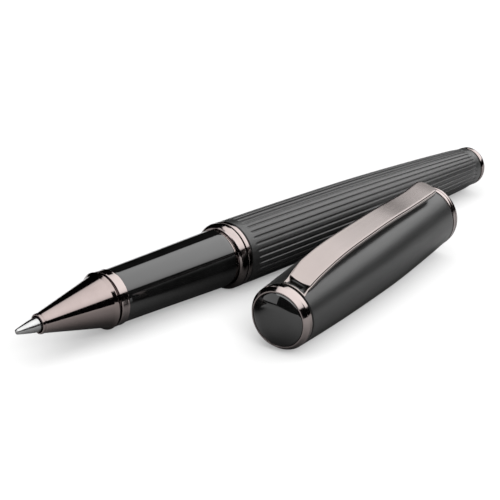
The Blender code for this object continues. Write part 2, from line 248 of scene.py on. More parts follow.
def gloss_black(name, specular):
    return coated(name, grey(0.0015), 0.04,
                  tint=((300, 2), grey(0.001), grey(0.002)),
                  rough=((1500, 5, drawn(0.1)), 0.025, 0.07),
                  bump=((500, 2), 0.000003), specular=specular)


def gunmetal(name, dark, light, smooth, coarse):
    """Dark rosy vapour-coated metal with the faint rings that polishing on a lathe leaves."""
    return coated(name, light, smooth,
                  tint=((240, 3), dark, light),
                  rough=((3000, 4, spun(0.05)), smooth, coarse),
                  bump=((9000, 3, spun(0.03)), 0.0000012), metallic=1.0)


def plain_plastic(name, dark, light, smooth, coarse):
    """Moulded plastic or rubber with a fine grain."""
    return coated(name, light, coarse,
                  tint=((1200, 3), dark, light),
                  rough=((3000, 3), smooth, coarse),
                  bump=((9000, 2), 0.000004))


MATERIALS = {
    "barrel_resin": coated(
        "matte_black_lacquer", grey(0.005), 0.4,
        tint=((900, 4), grey(0.004), grey(0.007)),
        rough=((2600, 4), 0.34, 0.42),
        bump=((14000, 2), 0.000006), specular=0.4),
    "cap_resin": coated(
        "satin_black_lacquer", grey(0.006), 0.34,
        tint=((160, 3, drawn(0.2)), grey(0.005), grey(0.008)),
        rough=((420, 4, drawn(0.15)), 0.28, 0.36),
        bump=((11000, 2), 0.000004), specular=0.31),
    "gloss_resin": gloss_black("gloss_black_resin", 0.5),
    "trim_metal": gunmetal("polished_gunmetal", (0.175, 0.15, 0.145), (0.205, 0.176, 0.17),
                           0.07, 0.13),
    "nose_metal": gunmetal("nose_gunmetal", (0.142, 0.118, 0.113), (0.162, 0.136, 0.131),
                           0.06, 0.11),
    "clip_metal": coated(
        "satin_gunmetal", (0.162, 0.141, 0.135), 0.22,
        tint=((180, 3), (0.158, 0.138, 0.132), (0.166, 0.145, 0.139)),
        rough=((1800, 3, drawn(0.03)), 0.2, 0.24),
        bump=((5000, 2, drawn(0.03)), 0.0000004), metallic=1.0),
    "steel": coated(
        "bright_steel", grey(0.2), 0.22,
        tint=((800, 3), grey(0.21), grey(0.24)),
        rough=((7000, 4, spun(0.05)), 0.19, 0.27),
        bump=((16000, 2, spun(0.03)), 0.000001), metallic=1.0),
    "brass": coated(
        "turned_brass", (0.62, 0.44, 0.19), 0.26,
        tint=((500, 4), (0.52, 0.35, 0.14), (0.68, 0.49, 0.22)),
        rough=((6000, 4, spun(0.05)), 0.18, 0.36),
        bump=((12000, 2, spun(0.03)), 0.000002), metallic=1.0),
    "rubber": plain_plastic("black_rubber", grey(0.012), grey(0.022), 0.6, 0.8),
    "grey_plastic": plain_plastic("grey_plastic", (0.14, 0.14, 0.15), (0.2, 0.2, 0.21),
                                  0.35, 0.5),
    "ink": plain_plastic("ink_fibre", (0.006, 0.006, 0.02), (0.014, 0.014, 0.04), 0.3, 0.45),
}
# The finial's dome has a thicker, glassier lacquer than the grip.
DOME_BLACK = gloss_black("gloss_black_dome", 0.6)
# The clip bracket's steel is coloured near black: painted shade for the dark hollow under the clip's root.
PAINTED_SHADE_STEEL = coated(
    "steel_in_painted_shade", grey(0.03), 0.4,
    tint=((800, 3), grey(0.02), (0.035, 0.034, 0.033)),
    rough=((5000, 4), 0.35, 0.5),
    bump=((9000, 2), 0.000002), metallic=1.0)
NODE_SLOTS = {row["node"]: row["material_slot"] for row in frame["record"]["subparts"]}
NODE_BODIES = {node: body for body, nodes in frame["record"]["behaviour"]["bodies"].items()
               for node in nodes}


# ---------------- shape helpers
def clamp(value):
    return min(1.0, max(0.0, value))


def rounded(outline, closed, small=0.05, steps=4):
    """An outline with its corners rounded.  A point may carry its own fillet radius."""
    straight, most = radians(177), 0.45     # most: the share of an edge one fillet may take
    points = [(p[0], p[1]) for p in outline]
    fillets = [p[2] if len(p) > 2 else small for p in outline]
    count = len(points)
    made = []
    for i, (here, fillet) in enumerate(zip(points, fillets)):
        ends = i in (0, count - 1) and not closed
        if ends or fillet <= 0:
            made.append(here)
            continue
        before, after = Vector(points[i - 1]), Vector(points[(i + 1) % count])
        corner = Vector(here)
        one, two = (before - corner), (after - corner)
        opening = one.angle(two)
        if opening > straight:
            made.append(here)
            continue
        back = min(fillet / tan(opening / 2), one.length * most, two.length * most)
        radius = back * tan(opening / 2)
        one.normalize()
        two.normalize()
        middle = corner + (one + two).normalized() * (radius / sin(opening / 2))
        first, last = corner + one * back - middle, corner + two * back - middle
        sweep = first.angle_signed(last)
        for k in range(steps + 1):
            turn = -sweep * k / steps
            spoke = Vector((first.x * cos(turn) - first.y * sin(turn),
                            first.x * sin(turn) + first.y * cos(turn)))
            made.append(tuple(middle + spoke))
    return made


def spline(points, per_span=8):
    """A smooth curve through points of any number of coordinates (Catmull-Rom)."""
    points = [np.array(p, float) for p in points]
    padded = [2 * points[0] - points[1], *points, 2 * points[-1] - points[-2]]
    made = []
    for a, b, c, d in zip(padded, padded[1:], padded[2:], padded[3:]):
        for k in range(per_span):
            u = k / per_span
            made.append(0.5 * (2 * b + (c - a) * u + (2 * a - 5 * b + 4 * c - d) * u * u
                               + (3 * b - a - 3 * c + d) * u ** 3))
    made.append(points[-1])
    return [tuple(float(x) for x in p) for p in made]


def link_piece(name, mesh, matrix):
    piece = bpy.data.objects.new(name, mesh)
    piece.matrix_world = matrix
    SCENE.collection.objects.link(piece)
    return piece


def finish_mesh(name, mesh, axis, sharp=38):
    """Faces outwards, smooth shading with true edges, and the piece set on its axis."""
    work = bmesh.new()
    work.from_mesh(mesh)
    bmesh.ops.recalc_face_normals(work, faces=work.faces)
    work.to_mesh(mesh)
    work.free()
    mesh.shade_smooth()
    mesh.set_sharp_from_angle(angle=radians(sharp))
    return link_piece(name, mesh, axis.matrix)


def bands(rings, count, closed):
    """The faces between neighbouring rings of points, and from the last to the first if closed."""
    faces = []
    for row in range(rings if closed else rings - 1):
        a, b = row * count, (row + 1) % rings * count
        faces += [(a + i, a + (i + 1) % count, b + (i + 1) % count, b + i) for i in range(count)]
    return faces


def skin(name, rings, axis, closed, sharp=38):
    """A skin through rings of equally many points, given in millimetres along the axis."""
    count = len(rings[0])
    points = [tuple(x * MM for x in p) for ring in rings for p in ring]
    faces = bands(len(rings), count, closed)
    if not closed:
        faces.append(tuple(range(count)))
        faces.append(tuple(range((len(rings) - 1) * count, len(rings) * count)))
    mesh = bpy.data.meshes.new(name)
    mesh.from_pydata(points, [], faces)
    return finish_mesh(name, mesh, axis, sharp)


def lathe(name, outline, axis, steps):
    """A turned piece.  An outline that starts and ends at radius 0 makes a solid one."""
    poles = outline[0][1] == 0 and outline[-1][1] == 0
    rows = outline[1:-1] if poles else outline
    turns = [tau * i / steps for i in range(steps)]
    points = [(r * cos(a) * MM, r * sin(a) * MM, s * MM) for s, r in rows for a in turns]
    faces = bands(len(rows), steps, not poles)
    if poles:
        first, last = len(points), len(points) + 1
        points += [(0, 0, outline[0][0] * MM), (0, 0, outline[-1][0] * MM)]
        end = (len(rows) - 1) * steps
        faces += [(first, (i + 1) % steps, i) for i in range(steps)]
        faces += [(last, end + i, end + (i + 1) % steps) for i in range(steps)]
    mesh = bpy.data.meshes.new(name)
    mesh.from_pydata(points, [], faces)
    return finish_mesh(name, mesh, axis)


def settle(piece, node, material=None):
    """Gives a piece its body and the material that its CAD node's slot names, and lets it stand for its CAD node.
    """
    piece.data.materials.append(material or MATERIALS[NODE_SLOTS[node]])
    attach(piece, NODE_BODIES[node])
    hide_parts(node)
    return piece


def turned(node, outline, axis, steps=INSIDE, small=0.05):
    """A turned piece in place of a CAD node, its outline's corners rounded."""
    poles = outline[0][1] == 0 and outline[-1][1] == 0
    smooth = rounded(outline, not poles, small)
    return settle(lathe(node + "_fine", smooth, axis, steps), node)


def box(name, low, high, soft=0.0):
    """A box on the cap's axis between two corners, its edges rounded."""
    mesh = bpy.data.meshes.new(name)
    work = bmesh.new()
    bmesh.ops.create_cube(work, size=1.0)
    bmesh.ops.scale(work, vec=[(b - a) * MM for a, b in zip(low, high)], verts=work.verts)
    bmesh.ops.translate(work, vec=[(a + b) / 2 * MM for a, b in zip(low, high)], verts=work.verts)
    if soft:
        bmesh.ops.bevel(work, geom=work.edges[:], offset=soft * MM, segments=3, affect="EDGES")
    work.to_mesh(mesh)
    work.free()
    return finish_mesh(name, mesh, CAP)


def cut_box(piece, low, high):
    """Cuts a box out of a piece on the cap's axis."""
    cutter = box("cutter", low, high)
    boolean = piece.modifiers.new("slot", "BOOLEAN")
    boolean.operation = "DIFFERENCE"
    boolean.solver = "EXACT"
    boolean.object = cutter
    bpy.context.view_layer.update()
    cut = piece.evaluated_get(bpy.context.evaluated_depsgraph_get())
    piece.data = bpy.data.meshes.new_from_object(cut)
    piece.modifiers.clear()
    bpy.data.objects.remove(cutter, do_unlink=True)


def tube(outer, wall):
    """A tube's loop: out along the outside and back along the inside."""
    return outer + [(s, r - wall) for s, r in reversed(outer)]


# ---------------- front section
def make_tip():
    """The refill's steel point: a turned cone whose mouth holds the writing ball."""
    front, back = PEN.reach("refill_tip")
    seat = PEN.reach("writing_ball")[1]
    shoulder, ink_hole, socket = 1.22, 0.5, 0.41
    cone = spline([(front + 0.05, 0.44), (front + 0.7, 0.6), (front + 1.7, 0.84),
                   (front + 2.7, 1.06), (front + 3.5, 1.19)], 5)
    outline = [(front, 0.385, 0.02), *cone, (front + 3.9, shoulder, 0.1), (back, shoulder),
               (back, ink_hole), (seat + 0.2, ink_hole), (seat, socket),
               (front + 0.1, socket, 0.02), (front, 0.36, 0.01)]
    turned("refill_tip", outline, PEN, RINGSIDE, small=0.03)


def make_ball():
    """The writing ball, turned about its own centre."""
    front, back = PEN.reach("writing_ball")
    radius, steps = (back - front) / 2, 24
    arc = [(-radius * cos(pi * k / steps), radius * sin(pi * k / steps)) for k in range(1, steps)]
    ball = lathe("writing_ball_fine", [(-radius, 0), *arc, (radius, 0)], PEN, 2 * steps)
    ball.matrix_world = PEN.matrix @ Matrix.Translation((0, 0, (front + radius) * MM))
    settle(ball, "writing_ball")


def make_nose():
    """The nose cone: a bead round its mouth, a straight cone, and a short flare at its lip.

    A stem behind the lip carries the collar.
    """
    front, back = PEN.reach("nose_cone")
    lip = back - 4.6
    proud = PEN.radius("nose_cone") + 0.02
    stem, mouth = 3.95, 1.42
    outline = [(front, 1.46, 0.05), (front, 1.68, 0.12), (front + 0.46, 1.76, 0.16),
               (front + 0.56, 1.56, 0.03), (front + 0.74, 1.72, 0.05), (lip - 0.62, 4.49, 0.06),
               (lip - 0.14, proud, 0.05), (lip, proud, 0.05), (lip, 4.45, 0.04),
               (lip + 0.06, stem, 0.02), (back, stem), (back, SECTION_BORE),
               (-32.6, SECTION_BORE), (-38.2, 1.95), (-41.0, mouth), (front + 0.3, mouth)]
    turned("nose_cone", outline, PEN, RINGSIDE, small=0.05)


def make_collar():
    """The collar: a plain band with a small raised rim at its back."""
    front, back = PEN.reach("collar_ring")
    radius = PEN.radius("collar_ring")
    bore = 4.25
    end = back + 0.2
    front += 0.25
    outline = [(front, bore), (front, radius - 0.17, 0.05), (front + 0.16, radius - 0.1, 0.1),
               (end - 0.34, radius - 0.1, 0.1), (end - 0.2, radius - 0.06, 0.08),
               (end, radius - 0.08, 0.05), (end, bore)]
    turned("collar_ring", outline, PEN, RINGSIDE, small=0.03)


def make_grip():
    front, back = PEN.reach("grip_sleeve")
    widest = PEN.radius("grip_sleeve")
    bore, spigot_radius = 4.3, 5.05
    body = spline([(front, 4.72), (front + 8, 4.91), (front + 16, 5.13), (back, widest)], 10)
    outline = [(front, bore, 0.05), *body, (back, spigot_radius), (back + SPIGOT, spigot_radius),
               (back + SPIGOT, bore)]
    turned("grip_sleeve", outline, PEN, RINGSIDE, small=0.04)


def make_section_metal():
    """The section's trim ring, with a ledge and a rolled front, and its brass core."""
    front, back = PEN.reach("section_ring")
    radius = PEN.radius("section_ring")
    ledge = front + 0.38
    bore, ledge_radius, spigot_radius = 4.3, 5.15, 5.75
    roll = spline([(ledge + 0.02, 5.6), (ledge + 0.22, 5.86), (ledge + 0.52, 6.08),
                   (ledge + 0.9, radius)], 5)
    outline = [(front, bore), (front, ledge_radius, 0.02), (ledge, ledge_radius, 0.02),
               (ledge, 5.56, 0.02), *roll, (back, radius, 0.14), (back, spigot_radius),
               (back + SPIGOT, spigot_radius), (back + SPIGOT, bore)]
    turned("section_ring", outline, PEN, RINGSIDE, small=0.03)
    front, back = PEN.reach("section_core")
    turned("section_core", tube([(front, 4.0), (back, 4.0)], 0.65), PEN)


def make_thread():
    """The connector's male thread, a skin whose radius follows the helix."""
    front, back = PEN.reach("thread_connector")
    crest = PEN.radius("thread_connector")
    root = crest - 0.3
    start = 2.0
    stop = start + THREAD_TURNS * THREAD_PITCH
    rows_per_turn, round_steps = 12, 72
    flank, land = 1.45, 0.2
    rows = THREAD_TURNS * rows_per_turn
    turns = [tau * i / round_steps for i in range(round_steps)]

    def thread_radius(station, angle):
        fade = min(1.0, (station - start) / THREAD_PITCH, (stop - station) / THREAD_PITCH)
        phase = abs(2 * ((station / THREAD_PITCH - angle / tau) % 1.0) - 1)
        return root + (crest - root) * fade * clamp(flank * phase - land)

    def ring(station, radius_at):
        return [(radius_at(a) * cos(a), radius_at(a) * sin(a), station) for a in turns]

    rings = [ring(front, lambda a: root - 0.1), ring(front + 0.1, lambda a: root)]
    for row in range(rows + 1):
        station = start + (stop - start) * row / rows
        rings.append(ring(station, lambda a: thread_radius(station, a)))
    rings += [ring(back - 0.2, lambda a: root), ring(back, lambda a: root - 0.2),
              ring(back, lambda a: SECTION_BORE), ring(front, lambda a: SECTION_BORE)]
    settle(skin("thread_connector_fine", rings, PEN, closed=True), "thread_connector")


def make_o_ring():
    front, back = PEN.reach("thread_o_ring")
    cord, steps = (back - front) / 2, 24
    middle, ridge = (front + back) / 2, PEN.radius("thread_o_ring") - cord
    seal = [(middle - cord * cos(tau * i / steps), ridge + cord * sin(tau * i / steps))
            for i in range(steps)]
    turned("thread_o_ring", seal, PEN, INSIDE, small=0)


# ---------------- the refill
def make_refill():
    """The refill behind its tip: holder, tube, ink core and plug."""
    radius, core_radius = REFILL_RADIUS, 2.25
    front, back = PEN.reach("refill_holder")
    turned("refill_holder", [(front, 0.9), (front, 1.35), (-38.4, 1.6, 0.4), (-33.2, 2.85, 0.5),
                             (-32.2, radius, 0.3), (back, radius), (back, 0.9)], PEN)
    front, back = PEN.reach("refill_tube")
    bore = 2.6
    turned("refill_tube", [(front, bore), (front, radius), (front + 2.0, radius),
                           (front + 2.15, 2.9), (front + 2.55, 2.9), (front + 2.7, radius),
                           (back - 2.4, radius), (back - 2.25, 2.92), (back - 1.95, 2.92),
                           (back - 1.8, radius), (back, radius), (back, bore)], PEN)
    front, back = PEN.reach("ink_core")
    turned("ink_core", [(front, 0), (front, core_radius), (back, core_radius), (back, 0)], PEN)
    front, back = PEN.reach("refill_plug")
    head = 60.8
    turned("refill_plug", [(front, 0), (front, core_radius), (head, core_radius), (head, radius),
                           (back - 0.7, radius), (back, 2.7, 0.2), (back, 1.1),
                           (back - 0.5, 0.9), (back - 0.5, 0)], PEN)


def spring_path(first, last, coil_radius, wire):
    """The middle line of a compression spring with closed ends."""
    turns, dead, steps = 6, 1.2, 36
    closed = 2.4 * wire * dead      # the length that the two closed ends take up together
    path = []
    for i in range(int((turns + 2 * dead) * steps) + 1):
        turn = i / steps
        free = min(max(turn - dead, 0.0), turns) / turns
        creep = (min(turn, dead) + max(turn - dead - turns, 0.0)) / (2 * dead)
        station = first + (last - first - closed) * free + closed * creep
        path.append(Vector((coil_radius * cos(tau * turn), coil_radius * sin(tau * turn), station)))
    return path


def make_spring():
    """A round-wire compression spring that spans its CAD node."""
    front, back = PEN.reach("refill_spring")
    wire, sides = 0.25, 12
    path = spring_path(front + wire, back - wire, PEN.radius("refill_spring") - wire, wire)
    rings = []
    for i, here in enumerate(path):
        ahead = (path[min(i + 1, len(path) - 1)] - path[max(i - 1, 0)]).normalized()
        out = Vector((here.x, here.y, 0)).normalized()
        side = ahead.cross(out)
        spokes = [out * cos(tau * k / sides) + side * sin(tau * k / sides) for k in range(sides)]
        rings.append([tuple(here + spoke * wire) for spoke in spokes])
    spring = settle(skin("refill_spring_fine", rings, PEN, closed=False, sharp=60),
                    "refill_spring")
    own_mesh(spring)


def make_spring_cup():
    front, back = PEN.reach("spring_cup")
    outline = [(front, 0), (front, 1.9), (front + 0.2, 2.1), (front + 0.2, 2.9), (front, 3.05),
               (front, 3.2), (back, 3.2), (back, 0)]
    turned("spring_cup", outline, PEN, INSIDE, small=0.04)


# ---------------- the barrel
def barrel_curve(front):
    """The barrel's outer curve, smoothed from the outline of its CAD node."""
    bore_edge = 4.0             # points nearer to the axis belong to the bore
    cad = [(s, PEN.outside("barrel", s)) for s in PEN.stations("barrel")]
    cad = [(s, r) for s, r in cad if r > bore_edge]
    # Two rows that stand close to their neighbours are left out, for a smoother curve.
    return spline([(front + 0.12, cad[0][1]), cad[1], *cad[3:-2], cad[-1]], 10)


def groove_angles():
    """Angles all the way round the barrel, each with its share of a groove's depth."""
    pitch, crown = tau / FLUTES, -0.04
    cross = [(0.0, 1.0), (0.35, 0.93), (0.7, 0.62), (0.95, 0.2), (1.15, 0.05), (1.6, 0.0)]
    half = [(share * FLUTE_HALF_WIDTH, drop) for share, drop in cross]
    whole = [*half, (pitch / 2, crown), *((pitch - a, drop) for a, drop in reversed(half[1:]))]
    return [(FLUTE_TURN + pitch * i + a, drop) for i in range(FLUTES) for a, drop in whole]


def barrel_stations(front, back, groove_front, groove_back, run_out):
    """Stations along the barrel, closer together where its grooves run out."""
    fine_steps, middle_steps = 12, 60
    fine = [run_out * k / fine_steps for k in range(fine_steps + 1)]
    start, stop = groove_front + run_out, groove_back - run_out
    stations = [front + 0.25, front + 0.6, front + 1.1]
    stations += [groove_front + step for step in fine]
    stations += [start + (stop - start) * k / middle_steps for k in range(1, middle_steps)]
    stations += [stop + step for step in fine]
    return stations + [groove_back + 0.5, back - 0.9, back - 0.4, back - 0.12]


def make_barrel():
    """The barrel: narrow grooves between broad ridges, running out before both ends."""
    front, back = PEN.reach("barrel")
    curve = barrel_curve(front)
    turns = groove_angles()
    groove_front, groove_back, run_out, bore = front + 1.5, back - 2.0, 1.3, 5.35

    def radius_at(station):
        for (s0, r0), (s1, r1) in zip(curve, curve[1:]):
            if s0 <= station <= s1:
                return r0 + (r1 - r0) * (station - s0) / (s1 - s0)
        return curve[0][1] if station < curve[0][0] else curve[-1][1]

    def depth_at(station):
        way = clamp(min(station - groove_front, groove_back - station) / run_out)
        return FLUTE_DEPTH * sqrt(1 - (1 - way) ** 2)

    def ring(station, radius, depth=0.0):
        return [((radius - depth * drop) * cos(a), (radius - depth * drop) * sin(a), station)
                for a, drop in turns]

    stations = barrel_stations(front, back, groove_front, groove_back, run_out)
    rings = [ring(front, radius_at(front) - 0.14), ring(front + 0.05, radius_at(front) - 0.04),
             ring(front + 0.14, radius_at(front))]
    rings += [ring(s, radius_at(s), depth_at(s)) for s in stations]
    rings += [ring(back - 0.04, radius_at(back) - 0.03), ring(back, radius_at(back) - 0.12)]
    rings += [ring(s, r) for s, r in ((back, 3.45), (58.2, 4.47), (BORE_SHOULDER, bore),
                                      (front, bore))]
    settle(skin("barrel_fine", rings, PEN, closed=True, sharp=50), "barrel")


def make_barrel_ring():
    front, back = PEN.reach("barrel_ring")
    radius = PEN.radius("barrel_ring")
    bore, spigot_radius = 5.2, 5.75
    outline = [(front, bore), (front, radius, 0.14), (back, radius, 0.14), (back, spigot_radius),
               (back + SPIGOT, spigot_radius), (back + SPIGOT, bore)]
    turned("barrel_ring", outline, PEN, RINGSIDE, small=0.03)


def make_barrel_inside():
    """The bush with the female thread's grooves, the liner and the tail plug."""
    front, back = PEN.reach("barrel_bush")
    outer, bore, root = PEN.radius("barrel_bush"), 4.72, 4.92
    lead_in, plain, half_tooth = 0.8, 1.5, 0.35
    grooves = []
    for turn in range(int((back - front - plain) / THREAD_PITCH)):
        start = front + lead_in + turn * THREAD_PITCH
        grooves += [(start, bore), (start + half_tooth, root), (start + 2 * half_tooth, bore)]
    inner = [(front, bore), *grooves, (back, bore)]
    outline = [(front, outer), (back, outer), *reversed(inner)]
    turned("barrel_bush", outline, PEN, INSIDE, small=0.03)
    front, back = PEN.reach("barrel_liner")
    liner = [(front, 5.05), (BORE_SHOULDER, 5.05), (back, PEN.outside("barrel_liner", back))]
    turned("barrel_liner", tube(liner, 0.45), PEN)
    front, back = PEN.reach("tail_plug")
    turned("tail_plug", [(front, 0), (front, 3.2), (back, 3.1), (back, 0)], PEN)


def make_tail():
    front, back = PEN.reach("tail_ring")
    radius = PEN.radius("tail_ring")
    outline = [(front, 3.2), (front, radius - 0.12, 0.06), (front + 0.16, radius, 0.12),
               (back - 0.75, radius - 0.02, 0.5), (back - 0.2, radius - 0.28, 0.35),
               (back, radius - 0.5, 0.16), (back, 3.2, 0.06)]
    turned("tail_ring", outline, PEN, RINGSIDE, small=0.03)
    front, back = PEN.reach("tail_disc")
    turned("tail_disc", [(front, 0), (front, 2.95), (back - 0.12, 2.95, 0.1), (back, 2.7, 0.3),
                         (back, 0)], PEN, RINGSIDE, small=0.04)


# ---------------- the cap
def cap_outline():
    """The outer outline of the CAD cap shell, at stations more than 3 mm apart."""
    points = []
    for station in CAP.stations("cap_shell"):
        if not points or station - points[-1][0] > 3:
            points.append((station, CAP.outside("cap_shell", station)))
    return points


def make_cap_shell():
    """The barrel-shaped shell, with a slot through its wall for the clip's bracket."""
    front, back = CAP.reach("cap_shell")
    outer = spline([(front, 5.67), (8.0, 6.01), (CAP_SHOULDER, 6.34), (24.5, 6.63),
                    (CAP_WIDEST, 6.79), (45.0, 6.61), (back, 6.31)], 12)
    outline = [*outer, (back, 6.0), (CAP_WIDEST, 6.2, 3), (CAP_SHOULDER, 5.75, 3), (front, 5.1)]
    shell = lathe("cap_shell_fine", rounded(outline, True, 0.1), CAP, RINGSIDE)
    play, slot_top = 0.06, 7.0
    tongue = CAP.local("clip_bracket")
    low, high = tongue.min(0) - play, tongue.max(0) + play
    cut_box(shell, low.tolist(), (slot_top, *high[1:].tolist()))
    settle(shell, "cap_shell")


def make_cap_inside():
    """The brass liner, the inner sealing cap and the head plug."""
    front, back = CAP.reach("cap_liner")
    liner = [(front, CAP.outside("cap_liner", front)), (CAP_SHOULDER, 5.45), (CAP_WIDEST, 5.9),
             (back, 5.68)]
    turned("cap_liner", tube(liner, 0.35), CAP)
    front, back = CAP.reach("inner_cap")
    floor = 9.0
    turned("inner_cap", [(front, 0), (front, 4.0), (8.2, 4.55), (back, 4.8), (back, 4.4),
                         (floor, 4.15), (floor, 0)], CAP)
    front, back = CAP.reach("cap_head_plug")
    turned("cap_head_plug", tube([(front, 4.6), (back, 4.6)], 3.1), CAP)


def make_mouth_ring():
    """The ring at the cap's mouth, with one turned groove near its rounded end."""
    front, back = CAP.reach("cap_mouth_ring")
    radius = CAP.radius("cap_mouth_ring")
    bore, spigot_radius = 5.65, 6.1
    groove, deep = back - 1.0, radius - 0.17
    outline = [(front - SPIGOT, bore), (front - SPIGOT, spigot_radius), (front, spigot_radius),
               (front, radius, 0.08), (groove - 0.1, radius, 0.1), (groove - 0.05, deep),
               (groove + 0.05, deep), (groove + 0.1, radius, 0.1), (back, radius - 0.03, 0.62),
               (back, bore, 0.1)]
    turned("cap_mouth_ring", outline, CAP, RINGSIDE, small=0.02)


def make_finial():
    """The stepped ring at the cap's head, its black dome, and the screw that holds them."""
    front, back = CAP.reach("finial_ring")
    radius = CAP.radius("finial_ring")
    bore = 4.75
    outline = [(front + 0.14, bore, 0.03), (front, 4.79, 0.04), (front, 5.0, 0.05),
               (0.14, 5.09, 0.05), (0.78, 5.5, 0.05), (0.86, 5.6, 0.05), (1.62, radius, 0.06),
               (back, radius - 0.08), (back, bore)]
    turned("finial_ring", outline, CAP, RINGSIDE, small=0.03)
    back = CAP.reach("finial_dome")[1]
    rim, seat, rise, steps = bore - 0.07, -0.02, 1.02, 24
    dome = [(seat - rise * (1 - (i / steps) ** 3), (rim - 0.04) * i / steps)
            for i in range(steps + 1)]
    dome += [(seat + 0.05, rim), (back, rim), (back, 0)]
    settle(lathe("finial_dome_fine", dome, CAP, RINGSIDE), "finial_dome", DOME_BLACK)
    front, back = CAP.reach("finial_screw")
    shank, head = 1.2, 2.2
    turned("finial_screw", [(front, 0), (front, shank), (6.4, shank), (6.4, head),
                            (back, head, 0.15), (back, 0.9), (back - 0.3, 0.8), (back - 0.3, 0)],
           CAP)


# ---------------- the clip
def clip_table():
    """Rows of station, top height and half width of the clip, smoothed from its CAD node."""
    table = []
    for station in CAP.stations("clip"):
        ring = CAP.ring("clip", station)
        table.append((station, float(ring[:, 0].max()), float(abs(ring[:, 1]).max())))
    # The CAD clip narrows over its last step.  Here it keeps its width, and taper() rounds it.
    table[-2:] = [(table[-1][0], table[-1][1], table[-2][2])]
    return np.array(spline(table, 8))


CLIP_TABLE = clip_table()


def clip_spread(station):
    """How much wider than its CAD node the clip is, all of it on the far side."""
    start, length = 41, 8
    return CLIP_SPREAD * clamp((station - start) / length) ** 2


def clip_at(station):
    """The clip's top height and half width at a station."""
    top, half = (float(np.interp(station, CLIP_TABLE[:, 0], CLIP_TABLE[:, i])) for i in (1, 2))
    return top, half + clip_spread(station) / 2


def fading(station, front, length):
    """1 at the clip's root, falling to 0 over a length."""
    return max(0.0, 1 - (station - front) / length)


def clip_lean(station, front, amount):
    """How far sideways the clip's middle lies: at its root, and where its end grows wider."""
    return amount * fading(station, front, 4.5) - clip_spread(station) / 2


def clip_waist(station, front):
    """How much of the clip's waist is left at a station."""
    return fading(station, front, 5.0)


def clip_rows(start, end, tip, step=0.75, crowded=8):
    """Even stations along the clip, and closer ones over its rounded tip."""
    rows = [start + step * k for k in range(int((end - start) / step) + 1)]
    rows = [s for s in rows if s < end - tip - 0.1]
    return rows + [end - tip + tip * sin(pi / 2 * k / crowded) for k in range(crowded + 1)]


def sheet_piece(name, grid, left_out, thickness, soft):
    """A pressed sheet from a grid of points of its upper face, with some of its cells left out."""
    mesh = bpy.data.meshes.new(name)
    work = bmesh.new()
    verts = [[work.verts.new(Vector(p) * MM) for p in row] for row in grid]
    for r in range(len(grid) - 1):
        for c in range(len(grid[0]) - 1):
            if not left_out(r, c):
                work.faces.new((verts[r][c], verts[r][c + 1], verts[r + 1][c + 1], verts[r + 1][c]))
    loose = [v for v in work.verts if not v.link_faces]
    bmesh.ops.delete(work, geom=loose, context="VERTS")
    bmesh.ops.recalc_face_normals(work, faces=work.faces)
    work.to_mesh(mesh)
    work.free()
    mesh.shade_smooth()
    piece = link_piece(name, mesh, CAP.matrix)
    outwards = sum(p.normal.x * p.area for p in mesh.polygons) > 0
    solid = piece.modifiers.new("sheet", "SOLIDIFY")
    solid.thickness = thickness * MM
    solid.offset = -1.0 if outwards else 1.0
    edge = piece.modifiers.new("edge", "BEVEL")
    edge.width = soft * MM
    edge.segments = 2
    edge.limit_method = "ANGLE"
    edge.angle_limit = radians(40)
    return settle(piece, "clip")


def taper(left, length):
    """The share of its width that a strip keeps at a distance from its rounded end."""
    squareness, fullness = 3.2, 2.4
    return (1 - clamp(1 - left / length) ** squareness) ** (1 / fullness)


def channel_half(rim, web, low, half):
    """Half of the channel's cross section, from the middle of its web out to its wall's foot."""
    ledge = half - 0.24
    foot = ledge - CHANNEL_DEPTH
    return [(web, 0.0), (web, foot / 2), (web, foot), (rim - 0.02, ledge), (rim, half - 0.13),
            (rim - 0.04, half - 0.04), (rim - 0.13, half), (low, half)]


def bar_section(points, half, lean, skin_height):
    """The cross section of the bar at the clip's foot: an arch round the cap, over two legs."""
    arch, leg_top = 5.84, 5.25
    made = [(min(up, leg_top) if abs(side) == half else sqrt(arch ** 2 - (side + lean) ** 2), side)
            for up, side in points]
    made[0], made[-1] = (skin_height, -half), (skin_height - 0.1, half)
    return made


def make_clip_frame():
    """The clip's channel: side walls with a rolled rim, a window at its root, a bar at its foot."""
    front, end = CAP.reach("clip")
    shell = np.array(cap_outline())
    bar_front, bar_back, window_end = front - 0.15, front + 0.12, front + 2.6
    tip, tip_half = 1.7, 0.5
    lift_length = 3.6           # over which the walls' feet rise from the cap to the web
    stations = [bar_front, bar_back, *(bar_back + 0.35 * k for k in range(1, 8))]
    stations += clip_rows(front + 3.0, end, tip)
    grid = []
    for station in stations:
        top, half = clip_at(station)
        lean, waist = clip_lean(station, front, amount=0.3), clip_waist(station, front)
        half = tip_half + (half - tip_half) * taper(end - station, tip)
        half -= CLIP_WAIST * waist * clamp(station - bar_back)
        rim = min(top - 0.3 - CLIP_WAIST * waist, 5.3 + 0.55 * (station - bar_front))
        web = rim - CHANNEL_DEPTH * clamp((station - bar_back) * 2)
        skin_radius = np.interp(station, shell[:, 0], shell[:, 1])
        skin_height = sqrt(skin_radius ** 2 - half ** 2) + 0.08
        away = clamp((station - window_end) / lift_length)
        low = skin_height * (1 - away) + (rim - CHANNEL_DEPTH) * away
        line = channel_half(rim, web, low, half)
        points = [(up, -side) for up, side in reversed(line[1:])] + line
        if station <= bar_back:
            points = bar_section(points, half, lean, skin_height)
        grid.append([(up, side + lean, station) for up, side in points])
    middle = len(grid[0]) // 2
    window_rows = [r for r, s in enumerate(stations) if bar_back <= s < window_end]
    sheet_piece("clip_frame_fine", grid,
                lambda r, c: r in window_rows and middle - 2 <= c < middle + 2,
                thickness=0.2, soft=0.05)


